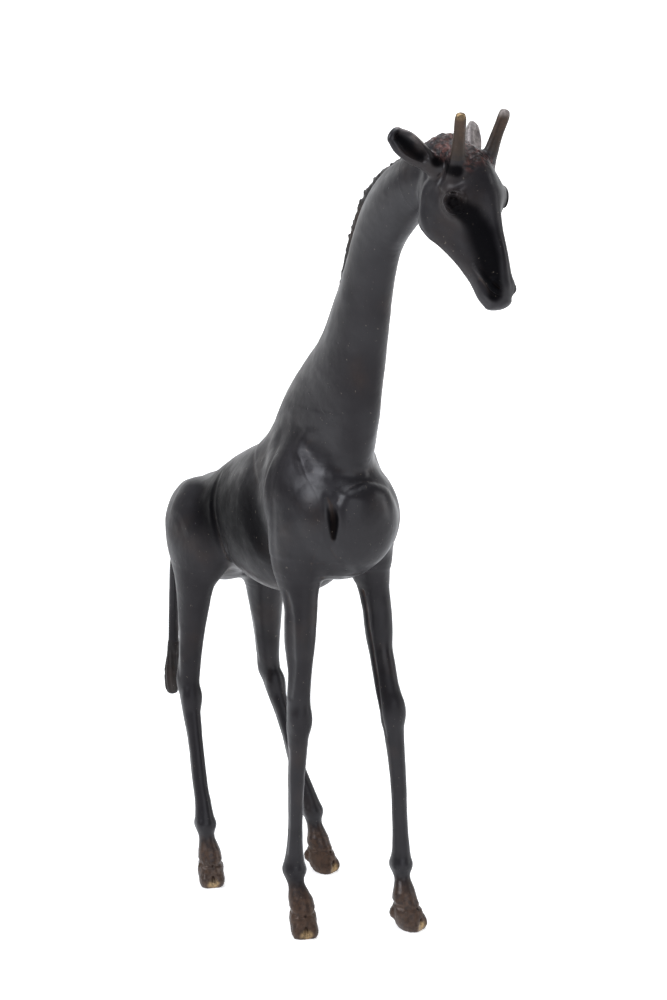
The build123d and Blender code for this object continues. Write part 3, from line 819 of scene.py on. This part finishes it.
def make_piece(node, vertices, quads, slot):
    """A Blender mesh in metres that stands for a CAD node, in the look of its slot."""
    name = f"{node}_skin"
    mesh = bpy.data.meshes.new(name)
    mesh.vertices.add(len(vertices))
    mesh.vertices.foreach_set("co", (vertices * MM).astype(np.float32).ravel())
    mesh.loops.add(quads.size)
    mesh.loops.foreach_set("vertex_index", quads.astype(np.int32).ravel())
    mesh.polygons.add(len(quads))
    mesh.polygons.foreach_set("loop_start", np.arange(0, quads.size, 4, dtype=np.int32))
    mesh.polygons.foreach_set("loop_total", np.full(len(quads), 4, np.int32))
    mesh.update(calc_edges=True)
    mesh.validate()
    mesh.polygons.foreach_set("use_smooth", np.ones(len(mesh.polygons), bool))
    for label, values in patina(vertices, quads).items():
        layer = mesh.attributes.new(label, "FLOAT", "POINT")
        layer.data.foreach_set("value", values.astype(np.float32))
    mesh.materials.append(LOOKS[slot])
    piece = bpy.data.objects.new(name, mesh)
    bpy.context.scene.collection.objects.link(piece)
    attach(piece, "root")
    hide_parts(node)


# -------- materials
class Shader:
    """A node material, built by small steps."""

    def __init__(self, name):
        self.material = bpy.data.materials.new(name)
        self.material.use_nodes = True
        self.tree = self.material.node_tree
        self.tree.nodes.clear()
        output = self.tree.nodes.new("ShaderNodeOutputMaterial")
        self.skin = self.tree.nodes.new("ShaderNodeBsdfPrincipled")
        self.place = self.node("ShaderNodeTexCoord", {})["Object"]
        self.tree.links.new(self.skin.outputs[0], output.inputs[0])

    def node(self, kind, inputs, **settings):
        """The outputs of a new node."""
        made = self.tree.nodes.new(kind)
        for key, value in settings.items():
            setattr(made, key, value)
        for label, value in inputs.items():
            self.plug(value, made.inputs[label])
        return made.outputs

    def plug(self, value, socket):
        """A constant, or a link from another node's output."""
        if isinstance(value, bpy.types.NodeSocket):
            self.tree.links.new(value, socket)
        elif isinstance(value, tuple):
            socket.default_value = (*value, 1)
        else:
            socket.default_value = value

    def noise(self, scale, detail, rough=0.55):
        inputs = {"Scale": scale, "Detail": detail, "Roughness": rough, "Vector": self.place}
        return self.node("ShaderNodeTexNoise", inputs)["Fac"]

    def cells(self, scale):
        return self.node("ShaderNodeTexVoronoi", {"Scale": scale, "Vector": self.place})["Distance"]

    def attribute(self, name):
        return self.node("ShaderNodeAttribute", {}, attribute_name=name)["Fac"]

    def spread(self, value, low, high, first=0.0, last=1.0):
        """Map low..high to first..last, smoothly and without going outside."""
        inputs = {"Value": value, "From Min": low, "From Max": high, "To Min": first, "To Max": last}
        return self.node("ShaderNodeMapRange", inputs, interpolation_type="SMOOTHSTEP")[0]

    def times(self, a, b):
        return self.node("ShaderNodeMath", {0: a, 1: b}, operation="MULTIPLY", use_clamp=True)[0]

    def mix(self, share, a, b):
        """One colour or the other, by a share from 0 to 1."""
        return self.node("ShaderNodeMix", {0: share, 6: a, 7: b}, data_type="RGBA")[2]

    def bump(self, height, strength, distance, normal=None):
        inputs = {"Strength": strength, "Distance": distance, "Height": height}
        if normal is not None:
            inputs["Normal"] = normal
        return self.node("ShaderNodeBump", inputs)[0]


BLACK_BROWN = (0.0125, 0.0110, 0.0130)
EARTH = (0.040, 0.022, 0.014)
RED_EARTH = (0.095, 0.038, 0.032)
GOLD = (0.36, 0.25, 0.13)
PALE = (0.30, 0.265, 0.255)
HORN = (0.062, 0.036, 0.024)
# the near-black of the painted shade, laid in hollows and creases and on the barrel's sides
PAINTED_SHADE_BLACK = (0.003, 0.003, 0.0035)
SPECK = (0.10, 0.085, 0.070)


def bronze(name, dark, brown, roughness, browning=0.5, grain=1.0):
    """Patinated bronze: mottled near-black skin, brown in the hollows, rubbed gold where it wears."""
    shader = Shader(name)
    skin = shader.skin.inputs
    painted_shade = shader.attribute("painted_shade")
    fibres = shader.noise(340, 4, 0.7)

    def streaked(mark, *window):
        return shader.times(shader.attribute(mark), shader.spread(fibres, *window))

    clouds = shader.times(shader.spread(shader.noise(30, 5), 0.50, 0.74), browning)
    colour = shader.mix(clouds, dark, brown)
    hollow = shader.times(shader.spread(shader.attribute("hollow"), 0.01, 0.10), 0.55)
    colour = shader.mix(hollow, colour, EARTH)
    colour = shader.mix(streaked("brown", 0.36, 0.62, 0.35, 1.0), colour, HORN)
    colour = shader.mix(streaked("gritty", 0.42, 0.60), colour, RED_EARTH)
    # painted shade: near-black over the hollows of the face, round the horns and the poll, in the right
    # ear's cup, in the slit by the chest and on the barrel's sides
    colour = shader.mix(shader.times(painted_shade, 0.9), colour, PAINTED_SHADE_BLACK)
    colour = shader.mix(streaked("dusty", 0.34, 0.66, 0.45, 0.95), colour, PALE)
    specks = shader.spread(shader.noise(520, 2), 0.70, 0.75)
    colour = shader.mix(shader.times(specks, 0.6), colour, SPECK)
    rubbed = streaked("worn", 0.34, 0.60, 0.15, 1.0)
    shader.plug(shader.mix(rubbed, colour, GOLD), skin["Base Color"])
    shader.plug(shader.spread(rubbed, 0.0, 1.0, 0.35, 0.95), skin["Metallic"])
    # the waxed coat is thicker in some patches than in others, and the painted shade takes away its gloss
    # and the specular reflection
    clean = shader.spread(painted_shade, 0.0, 1.0, 1.0, 0.0)
    patches = shader.spread(shader.noise(17, 3, 0.45), 0.42, 0.60, 0.25, 0.04)
    shader.plug(shader.times(clean, patches), skin["Coat Weight"])
    shader.plug(0.30, skin["Coat Roughness"])
    shader.plug((0.90, 0.94, 1.0), skin["Coat Tint"])
    shader.plug(shader.spread(painted_shade, 0.0, 1.0, 0.20, 0.0), skin["Specular IOR Level"])
    gloss = shader.spread(shader.noise(70, 4), 0.3, 0.7, roughness - 0.06, roughness + 0.12)
    shader.plug(gloss, skin["Roughness"])
    # fine grain, hammered dimples, casting pits, then grit
    normal = shader.bump(shader.noise(1500, 3, 0.6), 0.12 * grain, 0.0002)
    normal = shader.bump(shader.noise(210, 3, 0.5), 0.16 * grain, 0.0010, normal)
    normal = shader.bump(shader.spread(shader.cells(105), 0.03, 0.09), 0.45, 0.0004, normal)
    grit = shader.times(shader.attribute("gritty"), fibres)
    normal = shader.bump(grit, 0.7, 0.0012, normal)
    shader.plug(normal, skin["Normal"])
    return shader.material


LOOKS = {
    "dark_bronze": bronze("dark_bronze", BLACK_BROWN, (0.026, 0.017, 0.014), 0.42),
    "rough_bronze": bronze("rough_bronze", (0.014, 0.012, 0.012), (0.034, 0.022, 0.017), 0.55, 0.7, 2.5),
    "worn_bronze": bronze("worn_bronze", (0.016, 0.013, 0.012), (0.046, 0.030, 0.020), 0.44, 0.9),
    "hoof_bronze": bronze("hoof_bronze", (0.020, 0.014, 0.012), (0.050, 0.030, 0.020), 0.42, 0.9, 1.6),
}
PIN = bronze("pin_bronze", (0.30, 0.21, 0.11), (0.20, 0.13, 0.07), 0.35)


# Where the skin differs, as chains of x, y, z, radius: gritty from the mould, painted shade, black and
# without gloss, in hollows and creases and on the barrel's sides, pale with dust, and rubbed bright.
GRIT = [on_head([row]) for row in (
    (-16, 0, 472, 15), (-27, 0, 474, 13), (-16, 9, 468, 9), (-16, -9, 468, 9), (-3, 0, 463, 9),
    (-3, 7, 460, 7), (-3, -7, 460, 7))]
# painted shade down the hollow side of the face from the eye to the mouth, round the bases of the
# ossicones, at the poll between ear and ossicone, and in the right ear's cup
FACE_PAINTED_SHADE = [
    (-1, 18.6, 443, 7), (6, 14, 435, 11.5), (10, 9.5, 425, 13), (13, 8, 414, 12), (15.5, 7, 404, 8.5),
    (17.5, 6.5, 396, 6.5),
]
EAR_CUP_PAINTED_SHADE = [(-22, 22, 466, 5), (-26, 26, 471, 6), (-30, 29.8, 475.5, 4)]
HORN_PAINTED_SHADE = [(-9, 14, 459.5, 5), (-3, 14, 458.5, 5)]
POLL_PAINTED_SHADE = [(-20, 15, 461, 4.5), (-14, 14, 464, 5)]
PAINTED_SHADE_CHAINS = [on_head(rows, s) for s in (-1, 1) for rows in (FACE_PAINTED_SHADE, HORN_PAINTED_SHADE, POLL_PAINTED_SHADE)]
PAINTED_SHADE_CHAINS.append(on_head(EAR_CUP_PAINTED_SHADE, RIGHT))
# painted shade on both sides of the barrel, darkest at its middle and fading upward and downward
PAINTED_SHADE_CHAINS += [[(-82, 18 * s, 238, 38), (-30, 18 * s, 238, 40)] for s in (-1, 1)]
# painted shade in the slit between the chest and the right shoulder
PAINTED_SHADE_CHAINS += [[(44, -22, 266, 2.5), (46, -20, 255, 5), (45, -18.6, 244, 3)]]
DUST = [on_head([(-21, 14, 460, 7), (-27, 23, 469, 15), (-33, 31, 477, 13)]),
        on_head([(1.6, 16.7, 490, 7)]),
        on_head([(-23, 14.4, 467.5, 3), (-26.4, 18.5, 473.6, 4), (-29.8, 22.9, 478.3, 4),
                 (-32.6, 27.2, 480.3, 4)], RIGHT)]
TOE_REACH = 13.5
RUBBED = [[(line[-1][0] + TOE_REACH * cos(yaw), line[-1][1] + TOE_REACH * sin(yaw), 2.5, 5)]
          for line, yaw, _ in LEGS.values()]
RUBBED.append(on_head([(1.6, 16.7, 490.5, 7)], RIGHT))
# the painted shade mark goes to the material together with the real marks of grit, dust and wear
MARKS = {"gritty": GRIT, "painted_shade": PAINTED_SHADE_CHAINS, "dusty": DUST, "worn": RUBBED}


# -------- the castings
def waves(x, y, z, sizes):
    """Noise about zero: the sum over pairs of height and lump size."""
    return sum(height * (noise(x, y, z, scale) - 0.5) for height, scale in sizes)


def hand_worked(x, y, z):
    """Slow waves and small dents that modelling and chasing leave, coarse where the mould's grit shows."""
    turned_place = (0.6 * x + 0.8 * y, 0.48 * y - 0.36 * x + 0.8 * z, 0.48 * x - 0.64 * y + 0.6 * z)
    height = waves(*turned_place, ((0.55, 22), (0.26, 7), (0.08, 2.6)))
    gritty = sum(near(x, y, z, row[:3], row[3]) for chain in GRIT for row in chain)
    height = height + np.clip(gritty, 0, 1) * waves(x, y, z, ((1.1, 2.4), (0.9, 1.3)))
    horn = fading(z, 14, 24)
    return height + horn * (waves(x, y, z * 0.5, ((0.45, 2.2),)) + waves(x, y, z, ((0.25, 1.2),)))


def build_casting(node, low, high, step, cutters, slot="dark_bronze"):
    """The piece that stands for one casting, cut from the giraffe inside a box."""
    vertices, quads = cast(low, high, step, GIRAFFE, cutters)
    vertices = roughen(vertices, quads, hand_worked)
    vertices[:, 2] = np.maximum(vertices[:, 2], 0)
    make_piece(node, vertices, quads, slot)


def build_trunk():
    horns = [outside(region) for region in (*EAR_REGIONS.values(), *OSSICONE_REGIONS.values())]
    build_casting("body_casting", (-160, -48, 168), (60, 48, 338), 0.9,
                  [inside(NECK_CUT), outside(front_leg_region), outside(REAR_CUT), outside(TAIL_REGION)])
    build_casting("neck_casting", (-22, -30, 290), (112, 30, 474), 0.8,
                  [outside(NECK_CUT), inside(HEAD_CUT)])
    build_casting("head_casting", (96, -26, 380), (178, 36, 484), 0.5, [outside(HEAD_CUT)] + horns)
    build_casting("tail", (-178, -24, 126), (-140, 10, 236), 0.5,
                  [inside(TAIL_REGION), outside(TUFT_CUT)])


def build_horns(s, side):
    """An ear and an ossicone."""
    place = np.array(at_head(-28, 26 * s, 472))
    build_casting(f"{side}_ear", place - (20, 18, 16), place + (20, 18, 18), 0.4,
                  [inside(EAR_REGIONS[s])])
    place = np.array(at_head(0, 15.4 * s, 478))
    build_casting(f"{side}_ossicone", place - (12, 12, 16), place + (12, 12, 16), 0.4,
                  [inside(OSSICONE_REGIONS[s])], "worn_bronze")


def build_leg(name, line, side):
    """A leg and its hoof."""
    top, cut = (FRONT_JOINT_Z, FRONT_CUT) if name.startswith("front") else (REAR_JOINT_Z, REAR_CUT)
    low_y, high_y = (-56, 0) if side == RIGHT else (0, 56)
    columns = [row[0] for row in line if row[2] < top + 5]
    build_casting(f"{name}_leg", (min(columns) - 22, low_y, CORONET_Z - 3),
                  (max(columns) + 20, high_y, top + 3), 0.6, [inside(cut), outside(HOOF_CUT)])
    x, y = line[-1][:2]
    build_casting(f"{name}_hoof", (x - 16, y - 18, -2), (x + 24, y + 18, 18), 0.45,
                  [inside(HOOF_CUT), FLOOR], "hoof_bronze")


def build_hair(node, low, high, step, strokes, cutters, roughness, lump):
    """The mane or the tuft of the tail."""
    vertices, quads = cast(low, high, step, strokes, cutters)
    vertices = roughen(vertices, quads, lambda x, y, z: waves(x, y, z, ((roughness, lump),)))
    make_piece(node, vertices, quads, "rough_bronze")


build_trunk()
build_horns(RIGHT, "right")
build_horns(LEFT, "left")
for leg_name, (leg_line, _, leg_side) in LEGS.items():
    build_leg(leg_name, leg_line, leg_side)
build_hair("mane_strip", (0, -8, 330), (122, 10, 476), 0.5, mane_strokes(), [], 1.1, 2.2)
build_hair("tail_tuft", (-178, -26, 88), (-158, -6, 136), 0.45, tuft_strokes(), [inside(TUFT_CUT)],
           0.5, 2.5)

for pin_node in ("leg_joint_pins", "hoof_dowels", "neck_joint_pins", "head_joint_pin", "ear_dowels",
                 "ossicone_dowels", "tail_dowel", "tuft_dowel", "core_plugs"):
    for material_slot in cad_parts[pin_node].material_slots:
        material_slot.material = PIN


# -------- floor, light and camera
AWAY = Vector((-cos(radians(30)), sin(radians(30)), 0))  # the way the camera faces, level


def pale(name):
    """White that glows more the further it is from the statue, out of the lamps' reach."""
    shader = Shader(name)
    distance = shader.node("ShaderNodeVectorMath", {0: shader.place}, operation="LENGTH")["Value"]
    glow = shader.spread(distance, 0.5, 2.2, 0.5, 1.0)
    for label, value in (("Base Color", (0.9, 0.9, 0.9)), ("Roughness", 0.8),
                         ("Emission Color", (1.0, 1.0, 1.0)), ("Emission Strength", glow)):
        shader.plug(value, shader.skin.inputs[label])
    return shader.material


def build_floor():
    """A pale sweep: flat under the statue, curving up well behind it."""
    width, flat, bend, rise = 14.0, 3.4, 2.0, 7.0
    across = Vector((AWAY.y, -AWAY.x, 0))
    profile = [(-6.0, 0.0), (flat, 0.0)]
    profile += [(flat + bend * sin(t), bend * (1 - cos(t))) for t in np.linspace(0.15, pi / 2, 10)]
    profile += [(flat + bend, rise)]
    points, faces = [], []
    for distance, height in profile:
        for side in (-width / 2, width / 2):
            points.append(AWAY * distance + across * side + Vector((0, 0, height)))
    for i in range(len(profile) - 1):
        faces.append((2 * i, 2 * i + 1, 2 * i + 3, 2 * i + 2))
    mesh = bpy.data.meshes.new("floor")
    mesh.from_pydata(points, [], faces)
    for polygon in mesh.polygons:
        polygon.use_smooth = True
    mesh.materials.append(pale("pale_floor"))
    floor = bpy.data.objects.new("floor", mesh)
    bpy.context.scene.collection.objects.link(floor)


def area_light(name, location, target, size, power, colour=(1, 1, 1)):
    light = bpy.data.lights.new(name, "AREA")
    light.shape = "RECTANGLE"
    light.size, light.size_y = size
    light.energy = power
    light.color = colour
    lamp = bpy.data.objects.new(name, light)
    lamp.location = location
    lamp.rotation_euler = (Vector(target) - Vector(location)).to_track_quat("-Z", "Y").to_euler()
    bpy.context.scene.collection.objects.link(lamp)


def build_light():
    """Soft light from above and the left, cool as from a window, and a lit sweep behind."""
    middle = (0.0, 0.0, 0.25)
    cool = (0.92, 0.95, 1.0)
    area_light("key", (-0.3, -1.5, 1.3), middle, (0.8, 0.8), 24, cool)
    area_light("front", (1.6, -0.6, 0.8), middle, (1.5, 1.2), 13, cool)
    area_light("right", (0.9, 1.4, 0.7), middle, (0.4, 1.4), 9)
    area_light("top", (0.0, 0.0, 1.7), middle, (0.9, 0.9), 14, cool)
    world = bpy.data.worlds.new("studio")
    world.use_nodes = True
    background = world.node_tree.nodes["Background"].inputs
    background["Color"].default_value = (0.95, 0.97, 1, 1)
    background["Strength"].default_value = 0.10
    bpy.context.scene.world = world
    bpy.context.scene.view_settings.view_transform = "Standard"


def build_camera():
    """Ahead and to the giraffe's right, a little above its head, looking down at its middle."""
    camera = bpy.data.cameras.new("camera")
    camera.lens = 95.04
    eye = bpy.data.objects.new("camera", camera)
    eye.location = (1.3022, -0.7450, 0.590)
    pitch = radians(12.6)
    heading = AWAY * cos(pitch) + Vector((0, 0, -sin(pitch)))
    eye.rotation_euler = heading.to_track_quat("-Z", "Y").to_euler()
    bpy.context.scene.collection.objects.link(eye)
    bpy.context.scene.camera = eye


build_floor()
build_light()
build_camera()
